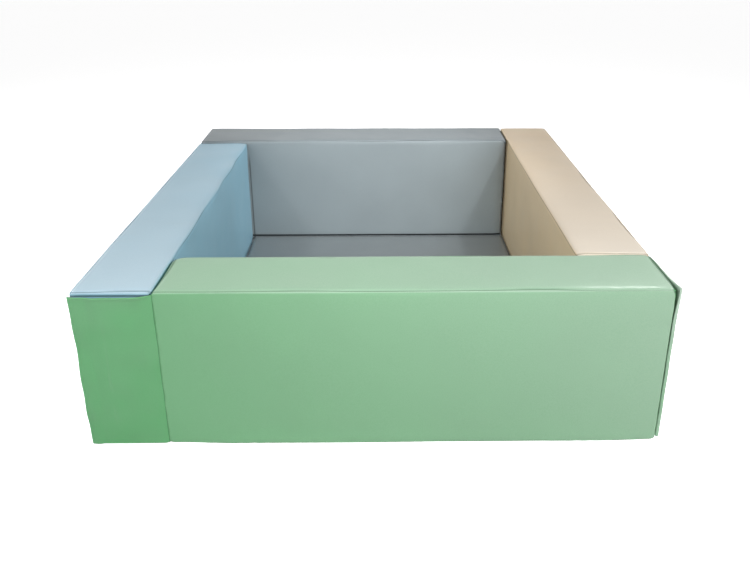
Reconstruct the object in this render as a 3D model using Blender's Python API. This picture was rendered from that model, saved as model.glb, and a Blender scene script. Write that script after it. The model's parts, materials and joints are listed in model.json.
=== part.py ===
"""Soft-play ball pit: four vinyl-covered foam walls set round a square in a pinwheel, with a foam
floor mat inside. Each wall carries, at one end, a flap that closes over the end of the next wall
with hook-and-loop tape, and a zip in its underside through which the foam core goes in.

Metres, +Z up. The origin is the middle of the pit on the floor, and the front wall is at -Y.
"""

import itertools
import math

import bmesh
import bpy
from mathutils import Matrix, Vector

# Driving sizes of the pit
SIDE = 1.500
WALL = 0.200
HEIGHT = 0.450
MAT_THICKNESS = 0.020

# Vinyl covers
VINYL = 0.0015
EDGE_RADIUS = 0.007
FACE_CROWN = 0.003
TOP_CROWN = 0.003
MAT_RADIUS = 0.005
MAT_CROWN = 0.0015

# Clearances
SEAT_GAP = 0.0003
BUTT_GAP = 0.001
MAT_CLEARANCE = 0.0045

# Closing flap: a sheet on a sewn bead that lies against the wall's rounded upright corner
FLAP_THICKNESS = 0.0018
FLAP_BEAD = 0.0014
FLAP_SEAM_ANGLE = math.radians(60)
FLAP_FOOT = 0.008
FLAP_TOP_DROP = 0.006
FLAP_BELLY = 0.008
FLAP_TIP_CURL = 0.004
FLAP_CURL_DEPTH = 0.110

# Hook-and-loop tape, the hooks on the flap and the loops on the end of the next wall
TAPE_WIDTH = 0.040
TAPE_THICKNESS = 0.0016
TAPE_FOOT = 0.040
TAPE_HEIGHT = 0.290
TAPE_FROM_HINGE = 0.150

# Zip in the underside, seen from below: a slot with turned-in lips that carry the zip's tape
SLOT_WIDTH = 0.030
SLOT_END_MARGIN = 0.060
MAT_ZIP_FROM_EDGE = 0.060
ZIP_TAPE_LEVEL = 0.0080
ZIP_TAPE_THICKNESS = 0.0010
ZIP_GROOVE_LEVEL = 0.0120
GROOVE_CLEARANCE = 0.001
COIL_HEIGHT = 0.0018
COIL_WIDTH = 0.0023
SLIT_WIDTH = 0.0012
STOP_LENGTH = 0.004

# Zip slider and its pull
SLIDER_LENGTH = 0.014
SLIDER_PLATE = 0.0013
SLIDER_FLANGE = 0.0012
SLIDER_RUN_GAP = 0.0003
POST_WIDTH = 0.0007
POST_LENGTH = 0.004
EAR_LENGTH = 0.0040
EAR_DROP = 0.0034
PIN_RADIUS = 0.0006
PIN_DROP = 0.0020
PULL_LENGTH = 0.028
PULL_THICKNESS = 0.0016
EYE_RADIUS = 0.0016
EYE_BORE = 0.0009

# How finely the soft faces are divided, so that their crown shows
CROWN_STEPS_LONG = 6
CROWN_STEPS_HIGH = 4
CROWN_STEPS_MAT = 4
CROWN_POWER = 4
FLAP_STEPS_WIDE = 10
FLAP_STEPS_HIGH = 12
BEAD_STEPS = 6

# Colours: red, green, blue
SAGE_GREEN = (0.37, 0.60, 0.41)
POWDER_BLUE = (0.43, 0.55, 0.61)
SLATE_GREY = (0.33, 0.37, 0.39)
SAND = (0.62, 0.54, 0.43)
FOAM_CREAM = (0.86, 0.80, 0.62)
TAPE_GREY = (0.50, 0.52, 0.53)
ZINC = (0.62, 0.63, 0.65)

# Worked out from the driving sizes
HALF_WALL = WALL / 2
PIT_INSIDE = SIDE - 2 * WALL
SLOT_HALF = SLOT_WIDTH / 2
ZIP_TAPE_HALF = SLOT_HALF + VINYL
LIP_TOP = ZIP_TAPE_LEVEL - SEAT_GAP
HINGE_REACH = EDGE_RADIUS + SEAT_GAP + FLAP_BEAD
HINGE_INSET_X = EDGE_RADIUS - HINGE_REACH * math.cos(FLAP_SEAM_ANGLE)
HINGE_INSET_Y = EDGE_RADIUS - HINGE_REACH * math.sin(FLAP_SEAM_ANGLE)
HOOK_BACK = HINGE_INSET_Y + FLAP_THICKNESS / 2 + SEAT_GAP
LOOP_FACE = HOOK_BACK + TAPE_THICKNESS + SEAT_GAP
END_RECESS = LOOP_FACE + TAPE_THICKNESS + SEAT_GAP
WALL_LENGTH = SIDE - WALL - BUTT_GAP - END_RECESS
HALF_LENGTH = WALL_LENGTH / 2
WALL_CENTRE_X = (WALL + BUTT_GAP - END_RECESS) / 2
WALL_CENTRE_Y = -(SIDE - WALL) / 2
MAT_SIDE = PIT_INSIDE - 2 * MAT_CLEARANCE
PULL_ROOM = PULL_LENGTH + STOP_LENGTH + SLIDER_LENGTH

WALLS = {
    "front": (0, SAGE_GREEN, SAGE_GREEN),
    "left": (-90, POWDER_BLUE, POWDER_BLUE),
    "back": (180, SLATE_GREY, SLATE_GREY),
    "right": (90, SAND, SAGE_GREEN),
}


def clear_scene():
    for obj in list(bpy.data.objects):
        bpy.data.objects.remove(obj, do_unlink=True)


def material(name, colour, roughness, metallic=0.0):
    """A Principled material, made once and then shared by name."""
    found = bpy.data.materials.get(name)
    if found:
        return found
    made = bpy.data.materials.new(name)
    made.use_nodes = True
    shader = made.node_tree.nodes["Principled BSDF"]
    shader.inputs["Base Color"].default_value = (*colour, 1.0)
    shader.inputs["Roughness"].default_value = roughness
    shader.inputs["Metallic"].default_value = metallic
    return made


def frame(name, location, degrees=0.0, parent=None):
    """An empty that carries one sub-assembly."""
    empty = bpy.data.objects.new(name, None)
    empty.location = location
    empty.rotation_euler = (0.0, 0.0, math.radians(degrees))
    empty.parent = parent
    bpy.context.scene.collection.objects.link(empty)
    return empty


def add_object(name, mesh, finish, parent, location=(0, 0, 0), smooth=True):
    if smooth:
        mesh.shade_smooth()
        mesh.set_sharp_from_angle(angle=math.radians(50))
    mesh.materials.append(finish)
    obj = bpy.data.objects.new(name, mesh)
    obj.parent = parent
    obj.location = location
    bpy.context.scene.collection.objects.link(obj)
    return obj


def mesh_from(bm, name):
    bmesh.ops.recalc_face_normals(bm, faces=bm.faces)
    mesh = bpy.data.meshes.new(name)
    bm.to_mesh(mesh)
    bm.free()
    return mesh


def steps(low, high, count):
    """The places that divide low to high into count equal parts, without the two ends."""
    return [low + (high - low) * i / count for i in range(1, count)]


def rounded_block(low, high, radius, cuts):
    """A box from low to high with rounded edges, its flat faces divided at the places in cuts."""
    bm = bmesh.new()
    size = Vector(high) - Vector(low)
    middle = (Vector(high) + Vector(low)) / 2
    place = Matrix.Translation(middle) @ Matrix.Diagonal((*size, 1))
    bmesh.ops.create_cube(bm, size=1.0, matrix=place)
    bmesh.ops.bevel(bm, geom=bm.edges[:], offset=radius, segments=2, profile=0.5, affect="EDGES")
    for axis, places in enumerate(cuts):
        normal = Vector((0, 0, 0))
        normal[axis] = 1.0
        for share in places:
            point = middle.copy()
            point[axis] = share
            everything = bm.verts[:] + bm.edges[:] + bm.faces[:]
            bmesh.ops.bisect_plane(bm, geom=everything, plane_co=point, plane_no=normal, dist=1e-6)
    bmesh.ops.triangulate(bm, faces=bm.faces[:])
    return bm


def draw_in(bm, low, high, radius, inset):
    """Moves a rounded block's skin inwards by inset. The flat faces keep their outlines, so that the
    smaller block's triangles lie under the larger one's."""
    for vert in bm.verts:
        for axis in range(3):
            if vert.co[axis] < low[axis] + radius / 2:
                vert.co[axis] += inset
            elif vert.co[axis] > high[axis] - radius / 2:
                vert.co[axis] -= inset


def swell(place, low, high):
    """1 in the middle of low to high, falling to 0 at both ends and staying there beyond them."""
    share = 2 * (place - low) / (high - low) - 1
    return max(0.0, 1 - abs(share) ** CROWN_POWER)


def crown_wall(bm):
    """Bulges the wall's outer, inner and top faces. The inner face stays flat where a neighbour butts."""
    free_end = HALF_LENGTH - (WALL - END_RECESS)
    for vert in bm.verts:
        x, y, z = vert.co
        high = swell(z, 0, HEIGHT)
        outer = swell(x, -HALF_LENGTH, HALF_LENGTH) * max(0.0, -y / HALF_WALL)
        inner = swell(x, -HALF_LENGTH, free_end) * max(0.0, y / HALF_WALL)
        top = swell(x, -HALF_LENGTH, HALF_LENGTH) * swell(y, -HALF_WALL, HALF_WALL)
        vert.co.y += FACE_CROWN * high * (inner - outer)
        vert.co.z += TOP_CROWN * top * z / HEIGHT


def crown_mat(bm):
    """Bulges the mat's top face."""
    half = MAT_SIDE / 2
    for vert in bm.verts:
        x, y, z = vert.co
        vert.co.z += MAT_CROWN * swell(x, -half, half) * swell(y, -half, half) * z / MAT_THICKNESS


def cut_slot(bm, slot_y, slot_half_length):
    """Takes the slot out of the underside and turns its rim up into lips that carry the zip."""
    gone = []
    for face in bm.faces:
        middle = face.calc_center_median()
        inside = abs(middle.x) < slot_half_length and abs(middle.y - slot_y) < SLOT_HALF
        if inside and middle.z < SEAT_GAP:
            gone.append(face)
    bmesh.ops.delete(bm, geom=gone, context="FACES")
    rim = [edge for edge in bm.edges if edge.is_boundary]
    raised = bmesh.ops.extrude_edge_only(bm, edges=rim)["geom"]
    lip = [item for item in raised if isinstance(item, bmesh.types.BMVert)]
    bmesh.ops.translate(bm, vec=(0, 0, LIP_TOP), verts=lip)


def add_cover(name, block, crown, slot_y, slot_half_length, finish, parent):
    """A vinyl cover: one skin all round, open along the zip slot in its underside."""
    bm = rounded_block(*block)
    crown(bm)
    cut_slot(bm, slot_y, slot_half_length)
    cover = add_object(name, mesh_from(bm, name), finish, parent)
    skin = cover.modifiers.new("vinyl", "SOLIDIFY")
    skin.thickness = VINYL
    skin.offset = -1
    skin.solidify_mode = "NON_MANIFOLD"
    skin.nonmanifold_thickness_mode = "CONSTRAINTS"
    skin.use_rim = True
    return cover


def add_foam(name, block, crown, slot_y, slot_half_length, parent):
    """The foam core, smaller than the cover all round, with a groove over the zip."""
    low, high, radius, cuts = block
    bm = rounded_block(low, high, radius, cuts)
    draw_in(bm, low, high, radius, VINYL + SEAT_GAP)
    crown(bm)
    foam = add_object(name, mesh_from(bm, name), material("foam", FOAM_CREAM, 0.95), parent)
    half_width = ZIP_TAPE_HALF + GROOVE_CLEARANCE
    half_length = slot_half_length + VINYL + GROOVE_CLEARANCE
    cutter = add_block(
        name + "_groove_cutter",
        (-half_length, slot_y - half_width, -ZIP_GROOVE_LEVEL),
        (half_length, slot_y + half_width, ZIP_GROOVE_LEVEL),
        foam.active_material,
        parent,
    )
    cutter.hide_render = True
    cutter.display_type = "WIRE"
    groove = foam.modifiers.new("groove", "BOOLEAN")
    groove.object = cutter
    groove.operation = "DIFFERENCE"
    return foam


def add_block(name, low, high, finish, parent, location=(0, 0, 0)):
    bm = bmesh.new()
    size = Vector(high) - Vector(low)
    middle = (Vector(high) + Vector(low)) / 2
    place = Matrix.Translation(middle) @ Matrix.Diagonal((*size, 1))
    bmesh.ops.create_cube(bm, size=1.0, matrix=place)
    return add_object(name, mesh_from(bm, name), finish, parent, location, smooth=False)


def solid_of_cells(places, filled):
    """A square-cornered solid: the cells of a grid, given by its places along X, Y and Z, in whose
    middles filled(x, y, z) is true."""
    cells = set()
    for cell in itertools.product(*(range(len(line) - 1) for line in places)):
        middle = [(line[n] + line[n + 1]) / 2 for line, n in zip(places, cell)]
        if filled(*middle):
            cells.add(cell)
    bm = bmesh.new()
    corners = {}
    for cell in sorted(cells):
        for axis, side in itertools.product(range(3), (0, 1)):
            beyond = list(cell)
            beyond[axis] += 2 * side - 1
            if tuple(beyond) in cells:
                continue
            ring = []
            for across, along in ((0, 0), (1, 0), (1, 1), (0, 1)):
                corner = list(cell)
                corner[axis] += side
                corner[(axis + 1) % 3] += across
                corner[(axis + 2) % 3] += along
                corner = tuple(corner)
                if corner not in corners:
                    corners[corner] = bm.verts.new([line[n] for line, n in zip(places, corner)])
                ring.append(corners[corner])
            bm.faces.new(ring)
    bmesh.ops.remove_doubles(bm, verts=bm.verts, dist=1e-6)
    return bm


def add_zip_chain(name, slot_y, slot_half_length, parent):
    """Both tapes of the zip with their rows of coil, joined past the two stops at the chain's ends."""
    run = slot_half_length - PULL_ROOM
    stop = run + STOP_LENGTH
    slit = SLIT_WIDTH / 2
    coil = slit + COIL_WIDTH
    xs = [-slot_half_length, -stop, -run, run, stop, slot_half_length]
    ys = [-ZIP_TAPE_HALF, -coil, -slit, slit, coil, ZIP_TAPE_HALF]
    zs = [ZIP_TAPE_LEVEL - COIL_HEIGHT, ZIP_TAPE_LEVEL, ZIP_TAPE_LEVEL + ZIP_TAPE_THICKNESS]

    def filled(x, y, z):
        if z > ZIP_TAPE_LEVEL:
            return abs(x) > run or abs(y) > slit
        if abs(x) < run:
            return slit < abs(y) < coil
        return abs(x) < stop and abs(y) < coil

    mesh = mesh_from(solid_of_cells((xs, ys, zs), filled), name)
    tape = material("zip_tape", TAPE_GREY, 0.8)
    return add_object(name, mesh, tape, parent, (0, slot_y, 0), smooth=False)


def cylinder_along_y(name, radius, length, height, finish, parent):
    """A round bar or bore cutter along Y, centred on its parent's origin and raised by height."""
    bm = bmesh.new()
    turn = Matrix.Translation((0, 0, height)) @ Matrix.Rotation(math.radians(90), 4, "X")
    bmesh.ops.create_cone(
        bm, cap_ends=True, segments=12, radius1=radius, radius2=radius, depth=length, matrix=turn
    )
    helper = add_object(name, mesh_from(bm, name), finish, parent)
    helper.hide_render = True
    helper.display_type = "WIRE"
    return helper


def add_slider(name, parent, location):
    """The zip slider: two plates joined by the post in the slit, flanges round the coil, ears and a pin."""
    coil = SLIT_WIDTH / 2 + COIL_WIDTH
    flange_in = coil + SLIDER_RUN_GAP
    flange_out = flange_in + SLIDER_FLANGE
    post = POST_WIDTH / 2
    nose = SLIDER_LENGTH / 2
    post_front = nose - SLIDER_PLATE
    plate_top = -COIL_HEIGHT - SLIDER_RUN_GAP
    plate_bottom = plate_top - SLIDER_PLATE
    ear_bottom = plate_bottom - EAR_DROP
    flange_top = -SLIDER_RUN_GAP
    cap_bottom = ZIP_TAPE_THICKNESS + SLIDER_RUN_GAP
    cap_top = cap_bottom + SLIDER_PLATE
    ear = EAR_LENGTH / 2
    xs = sorted([-nose, -ear, ear, post_front - POST_LENGTH, post_front, nose])
    ys = [-flange_out, -flange_in, -post, post, flange_in, flange_out]
    zs = [ear_bottom, plate_bottom, plate_top, flange_top, cap_bottom, cap_top]

    def filled(x, y, z):
        if z < plate_bottom:
            return abs(x) < ear and abs(y) > flange_in
        if z < plate_top or z > cap_bottom:
            return True
        in_post = post_front - POST_LENGTH < x < post_front and abs(y) < post
        return in_post or (z < flange_top and abs(y) > flange_in)

    zinc = material("zinc", ZINC, 0.35, 1.0)
    mesh = mesh_from(solid_of_cells((xs, ys, zs), filled), name)
    slider = add_object(name, mesh, zinc, parent, location, smooth=False)
    pin_level = plate_bottom - PIN_DROP
    pin = cylinder_along_y(name + "_pin", PIN_RADIUS, flange_in + flange_out, pin_level, zinc, slider)
    weld = slider.modifiers.new("pin", "BOOLEAN")
    weld.object = pin
    weld.operation = "UNION"
    return slider


def pull_level():
    """Height of the pull's pin above the floor."""
    return ZIP_TAPE_LEVEL - COIL_HEIGHT - SLIDER_RUN_GAP - SLIDER_PLATE - PIN_DROP


def add_pull(name, parent, location):
    """The pull: a strip whose end is rolled into an eye round the slider's pin. Its origin is the pin."""
    half_width = SLIT_WIDTH / 2 + COIL_WIDTH
    half_strip = PULL_THICKNESS / 2
    eye_start = math.pi - math.asin(half_strip / EYE_RADIUS)
    arc_steps = 14
    outline = [(-PULL_LENGTH, half_strip)]
    for i in range(arc_steps + 1):
        turn = eye_start * (1 - 2 * i / arc_steps)
        outline.append((EYE_RADIUS * math.cos(turn), EYE_RADIUS * math.sin(turn)))
    outline.append((-PULL_LENGTH, -half_strip))
    bm = bmesh.new()
    profile = bm.faces.new([bm.verts.new((x, -half_width, z)) for x, z in outline])
    grown = bmesh.ops.extrude_face_region(bm, geom=[profile])["geom"]
    far_side = [item for item in grown if isinstance(item, bmesh.types.BMVert)]
    bmesh.ops.translate(bm, vec=(0, 2 * half_width, 0), verts=far_side)
    zinc = material("zinc", ZINC, 0.35, 1.0)
    pull = add_object(name, mesh_from(bm, name), zinc, parent, location)
    bore = cylinder_along_y(name + "_bore", EYE_BORE, 4 * half_width, 0.0, zinc, pull)
    cut = pull.modifiers.new("bore", "BOOLEAN")
    cut.object = bore
    cut.operation = "DIFFERENCE"
    return pull


def add_zip(prefix, slot_y, slot_half_length, parent):
    """Zip chain, slider and pull. The slider rests at the closed end, towards +X."""
    closed = slot_half_length - PULL_ROOM - SLIDER_LENGTH / 2
    add_zip_chain(prefix + "_zip_chain", slot_y, slot_half_length, parent)
    add_slider(prefix + "_zip_slider", parent, (closed, slot_y, ZIP_TAPE_LEVEL))
    add_pull(prefix + "_zip_pull", parent, (closed, slot_y, pull_level()))


def flap_lift(along, up):
    """How far the flap's sheet stands out, at a share along its width and a share up its height. It
    is flat where it is taped down. Towards the top edge it bellies out between the seam and the
    tape, and its free corner turns out."""
    flap_height = HEIGHT - FLAP_TOP_DROP - FLAP_FOOT
    near_top = max(0.0, 1 - (1 - up) * flap_height / FLAP_CURL_DEPTH)
    rise = near_top * near_top * (3 - 2 * near_top)
    taped = (TAPE_FROM_HINGE + TAPE_WIDTH / 2) / WALL
    if along < taped:
        return FLAP_BELLY * rise * math.sin(math.pi * along / taped) ** 2
    return FLAP_TIP_CURL * rise * ((along - taped) / (1 - taped)) ** 2


def flap_outline():
    """The flap seen from above, without its lift: each point's X and Y, and its share of the width.
    It runs along the outer side to the free edge, back along the inner side and round the bead."""
    width = WALL + HINGE_INSET_X
    half = FLAP_THICKNESS / 2
    bead_start = math.asin(half / FLAP_BEAD)
    outline = []
    for i in range(1, FLAP_STEPS_WIDE + 1):
        along = i / FLAP_STEPS_WIDE
        outline.append((-width * along, -half, along))
    for i in range(FLAP_STEPS_WIDE, 0, -1):
        along = i / FLAP_STEPS_WIDE
        outline.append((-width * along, half, along))
    for i in range(BEAD_STEPS + 1):
        turn = math.pi - bead_start - (2 * math.pi - 2 * bead_start) * i / BEAD_STEPS
        outline.append((FLAP_BEAD * math.cos(turn), FLAP_BEAD * math.sin(turn), 0.0))
    return outline


def add_flap(name, finish, parent):
    """The closing flap. Its origin is on the seam that it swings about, at floor level."""
    foot = FLAP_FOOT
    top = HEIGHT - FLAP_TOP_DROP
    bm = bmesh.new()
    rows = []
    for j in range(FLAP_STEPS_HIGH + 1):
        up = j / FLAP_STEPS_HIGH
        height = foot + (top - foot) * up
        rows.append([bm.verts.new((x, y - flap_lift(along, up), height)) for x, y, along in flap_outline()])
    for lower, upper in zip(rows, rows[1:]):
        for i, vert in enumerate(lower):
            n = (i + 1) % len(lower)
            bm.faces.new((vert, lower[n], upper[n], upper[i]))
    bm.faces.new(rows[0])
    bm.faces.new(rows[-1])
    location = (-HALF_LENGTH + HINGE_INSET_X, -HALF_WALL + HINGE_INSET_Y, 0)
    return add_object(name, mesh_from(bm, name), finish, parent, location)


def add_hook_tape(name, parent):
    """Hook tape on the flap's inner side."""
    hinge_x = -HALF_LENGTH + HINGE_INSET_X
    middle = hinge_x - TAPE_FROM_HINGE
    low = (middle - TAPE_WIDTH / 2, -HALF_WALL + HOOK_BACK, TAPE_FOOT)
    high = (middle + TAPE_WIDTH / 2, -HALF_WALL + HOOK_BACK + TAPE_THICKNESS, TAPE_FOOT + TAPE_HEIGHT)
    return add_block(name, low, high, material("hook_tape", TAPE_GREY, 0.9), parent)


def add_loop_tape(name, parent):
    """Loop tape on the covered end, facing the hooks of the next wall's flap."""
    next_hinge_y = HALF_WALL + BUTT_GAP + HINGE_INSET_X
    middle = next_hinge_y - TAPE_FROM_HINGE - 2 * BUTT_GAP
    face = HALF_LENGTH + SEAT_GAP
    low = (face, middle - TAPE_WIDTH / 2, TAPE_FOOT)
    high = (face + TAPE_THICKNESS, middle + TAPE_WIDTH / 2, TAPE_FOOT + TAPE_HEIGHT)
    return add_block(name, low, high, material("loop_tape", TAPE_GREY, 0.95), parent)


def build_wall(name, degrees, colour, flap_colour):
    turn = Matrix.Rotation(math.radians(degrees), 3, "Z")
    carrier = frame(name + "_wall", turn @ Vector((WALL_CENTRE_X, WALL_CENTRE_Y, 0)), degrees)
    slot = HALF_LENGTH - SLOT_END_MARGIN
    low = (-HALF_LENGTH, -HALF_WALL, 0)
    high = (HALF_LENGTH, HALF_WALL, HEIGHT)
    cuts_long = [-slot, *steps(-slot, slot, CROWN_STEPS_LONG), slot]
    cuts = (cuts_long, [-SLOT_HALF, SLOT_HALF], steps(0, HEIGHT, CROWN_STEPS_HIGH))
    block = (low, high, EDGE_RADIUS, cuts)
    vinyl = material(name + "_vinyl", colour, 0.42)
    add_cover(name + "_cover", block, crown_wall, 0, slot, vinyl, carrier)
    add_foam(name + "_foam", block, crown_wall, 0, slot, carrier)
    add_zip(name, 0, slot, carrier)
    add_flap(name + "_flap", material(name + "_flap_vinyl", flap_colour, 0.42), carrier)
    add_hook_tape(name + "_hook_tape", carrier)
    add_loop_tape(name + "_loop_tape", carrier)


def build_mat():
    carrier = frame("floor_mat", (0, 0, 0))
    half = MAT_SIDE / 2
    slot_y = MAT_ZIP_FROM_EDGE - half
    slot = half - SLOT_END_MARGIN
    low = (-half, -half, 0)
    high = (half, half, MAT_THICKNESS)
    cuts_long = [-slot, *steps(-slot, slot, CROWN_STEPS_MAT), slot]
    cuts_wide = [slot_y - SLOT_HALF, slot_y + SLOT_HALF, *steps(-half, half, CROWN_STEPS_MAT)]
    block = (low, high, MAT_RADIUS, (cuts_long, cuts_wide, []))
    add_cover("mat_cover", block, crown_mat, slot_y, slot, material("mat_vinyl", SLATE_GREY, 0.45), carrier)
    add_foam("mat_foam", block, crown_mat, slot_y, slot, carrier)
    add_zip("mat", slot_y, slot, carrier)


def main():
    clear_scene()
    for name, (degrees, colour, flap_colour) in WALLS.items():
        build_wall(name, degrees, colour, flap_colour)
    build_mat()


main()
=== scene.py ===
"""Foam ball pit: four vinyl-covered wall blocks in a pinwheel round a floor mat.

Every block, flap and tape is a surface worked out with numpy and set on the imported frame, whose boxes give
the sizes. The zips are the frame's own pieces with new finishes. A wall is worked out lying along X, with
its closing flap at its low end and its outer face at -Y, and is then turned to its place round the pit.
"""

import json
import math

import bpy
import numpy as np
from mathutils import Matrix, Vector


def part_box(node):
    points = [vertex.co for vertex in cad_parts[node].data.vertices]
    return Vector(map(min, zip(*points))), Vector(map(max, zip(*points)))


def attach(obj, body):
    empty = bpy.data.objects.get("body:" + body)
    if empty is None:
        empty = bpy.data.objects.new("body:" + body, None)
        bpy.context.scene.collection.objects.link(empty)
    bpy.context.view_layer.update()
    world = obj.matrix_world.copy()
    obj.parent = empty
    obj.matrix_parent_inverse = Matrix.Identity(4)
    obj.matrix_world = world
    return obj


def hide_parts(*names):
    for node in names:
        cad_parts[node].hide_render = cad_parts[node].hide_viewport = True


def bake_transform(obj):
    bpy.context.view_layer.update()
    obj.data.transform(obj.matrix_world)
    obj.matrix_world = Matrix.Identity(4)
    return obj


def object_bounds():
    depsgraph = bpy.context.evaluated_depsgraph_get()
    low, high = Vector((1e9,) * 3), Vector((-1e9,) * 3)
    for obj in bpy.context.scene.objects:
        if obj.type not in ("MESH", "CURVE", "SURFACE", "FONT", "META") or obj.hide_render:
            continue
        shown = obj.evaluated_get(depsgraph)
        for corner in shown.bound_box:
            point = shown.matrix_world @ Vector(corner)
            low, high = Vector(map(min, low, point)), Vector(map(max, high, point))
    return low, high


bl_info = {
    "name": "Foam ball pit",
    "version": (1, 0, 0),
    "blender": (4, 5, 0),
    "location": "View3D > Sidebar > Ball pit",
    "description": "Builds the padded walls, flaps, zips and mat of a foam ball pit",
    "category": "Object",
}

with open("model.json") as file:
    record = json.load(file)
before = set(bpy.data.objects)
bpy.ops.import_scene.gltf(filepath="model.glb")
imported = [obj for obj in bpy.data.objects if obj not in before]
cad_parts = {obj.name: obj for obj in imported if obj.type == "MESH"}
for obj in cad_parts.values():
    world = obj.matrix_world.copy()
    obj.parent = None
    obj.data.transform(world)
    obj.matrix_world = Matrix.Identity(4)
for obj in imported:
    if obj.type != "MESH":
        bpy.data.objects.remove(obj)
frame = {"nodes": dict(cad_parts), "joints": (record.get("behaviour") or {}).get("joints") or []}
FRAME_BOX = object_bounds()

MM = 0.001
QUARTER = math.pi / 2
PIT_SIDE = 1.5

# The channel for a zip in an underside: how far a cover laps over the zip's tapes and a core stays clear
# of them, how deep it is in each, and half the width of its walls
ZIP_LAP = 1.5 * MM
ZIP_CLEARANCE = 1.0 * MM
COVER_CHANNEL = 12 * MM
CORE_CHANNEL = 10 * MM
CHANNEL_WALL = 0.25 * MM

# How far a core stays inside the sides of a wall's and of the mat's cover and above the floor, how much
# nearer the mat's core comes to the top, and a core's edge radius and spacing
CORE_INSET = 13 * MM
MAT_CORE_INSET = 8 * MM
CORE_FOOT = 3 * MM
MAT_CORE_RISE = 4 * MM
CORE_ROLL = 4 * MM
CORE_SPACING = 0.05

# The mat's crown, how far its cover bulges past the plain solid's sides, its edge radius and spacing
MAT_CROWN = 1.5 * MM
MAT_SPREAD = 2.0 * MM
MAT_ROLL = 4.5 * MM
MAT_SPACING = 0.012

# Each wall's quarter turns from the front wall, and its record slots for cover and flap
WALLS = {
    "front": (0, "green_vinyl", "green_vinyl"),
    "left": (-1, "blue_vinyl", "blue_vinyl"),
    "back": (2, "grey_vinyl", "grey_vinyl"),
    "right": (1, "sand_vinyl", "green_vinyl"),
}


def turned(points, quarters):
    """Points turned about Z by whole quarter turns: each quarter takes (x, y) to (-y, x)."""
    angle = quarters * QUARTER
    cosine, sine = round(math.cos(angle)), round(math.sin(angle))
    turn = np.array([[cosine, sine, 0.0], [-sine, cosine, 0.0], [0.0, 0.0, 1.0]])
    return points @ turn


def local_box(node, quarters):
    """Low and high corners of a node's box, turned back to where the front wall stands."""
    corners = turned(np.array([list(corner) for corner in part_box(node)]), -quarters)
    return corners.min(axis=0), corners.max(axis=0)


def length_property(name, description, value, smallest=0.0):
    return bpy.props.FloatProperty(
        name=name, description=description, default=value, min=smallest, unit="LENGTH"
    )


def colour_property(name, description, value):
    return bpy.props.FloatVectorProperty(
        name=name, description=description, default=value, size=3, min=0.0, max=1.0, subtype="COLOR"
    )


class PIT_PG_sizes(bpy.types.PropertyGroup):
    """Sizes of the covers, seams and flaps."""

    edge_roll: length_property("Edge roll", "Radius of the rolled edges between two faces", 0.006, 0.002)
    face_crown: length_property("Face crown", "How far a long face stands out in its middle", 0.003)
    spacing: length_property("Mesh spacing", "Largest distance between two rows of points", 0.0085, 0.003)
    seam_depth: length_property("Seam depth", "Depth of the crease along a sewn edge", 0.0018)
    seam_width: length_property("Seam width", "Half width of the crease along a sewn edge", 0.0013)
    pucker: length_property("Pucker", "Height of the gathers that run off a seam", 0.0009)
    pucker_reach: length_property("Pucker reach", "How far the gathers run into the face", 0.030)
    slack: length_property("Slack", "Height of the broad waves in a face", 0.0014)
    flap_thickness: length_property("Flap thickness", "Thickness of the doubled vinyl of a flap", 0.0018)
    hem_bead: length_property("Hem bead", "How far the turned hem round a flap stands proud", 0.0012)


class PIT_PG_colours(bpy.types.PropertyGroup):
    """Colours of the vinyl, foam and trim."""

    green_vinyl: colour_property("Green vinyl", "Front wall and two flaps", (0.085, 0.340, 0.121))
    blue_vinyl: colour_property("Blue vinyl", "Left wall", (0.255, 0.505, 0.65))
    grey_vinyl: colour_property("Grey vinyl", "Back wall", (0.226, 0.266, 0.284))
    sand_vinyl: colour_property("Sand vinyl", "Right wall", (0.75, 0.56, 0.33))
    mat_vinyl: colour_property("Mat vinyl", "Floor mat", (0.212, 0.240, 0.252))
    foam: colour_property("Foam", "Cores of the walls and the mat", (0.83, 0.76, 0.56))
    hook_and_loop: colour_property("Closing tape", "Hook tape and loop tape", (0.42, 0.44, 0.45))
    zip_tape: colour_property("Zip tape", "Woven tape and coil of the zips", (0.33, 0.35, 0.36))
    zip_metal: colour_property("Zip metal", "Sliders and pulls", (0.60, 0.61, 0.63))


def sizes():
    return bpy.context.scene.pit_sizes


def colour(slot):
    return tuple(getattr(bpy.context.scene.pit_colours, slot))


# Smooth random fields


def ripples(points, wavelength, seed, count=9):
    """A smooth random field of about -1 to 1: the sum of count sine waves, each with its own random
    direction and phase and a length near wavelength, divided by the root of half their number."""
    rng = np.random.default_rng(seed)
    directions = rng.normal(size=(points.shape[1], count))
    directions /= np.linalg.norm(directions, axis=0)
    numbers = 2 * math.pi / wavelength * rng.uniform(0.65, 1.45, count)
    phases = rng.uniform(0, 2 * math.pi, count)
    return np.sin(points @ (directions * numbers) + phases).sum(axis=1) / math.sqrt(2 * count)


def clamped(values):
    """Values held between 0 and 1."""
    return np.clip(values, 0, 1)


def bell(distance, width):
    """1 at no distance, falling off as the exponential of minus the square of distance over width."""
    return np.exp(-((distance / width) ** 2))


def swell(places, low, high):
    """1 in the middle of low to high and 0 at both ends and beyond: one minus the fourth power of the
    share of the way out from the middle."""
    share = 2 * (places - low) / (high - low) - 1
    return np.clip(1 - share**4, 0, None)


def between(places, low, high, fade):
    """1 from low to high and 0 outside, with an even passage as long as the fade at both ends."""
    return clamped((places - low) / fade + 0.5) * clamped((high - places) / fade + 0.5)


# Meshes from arrays


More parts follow.
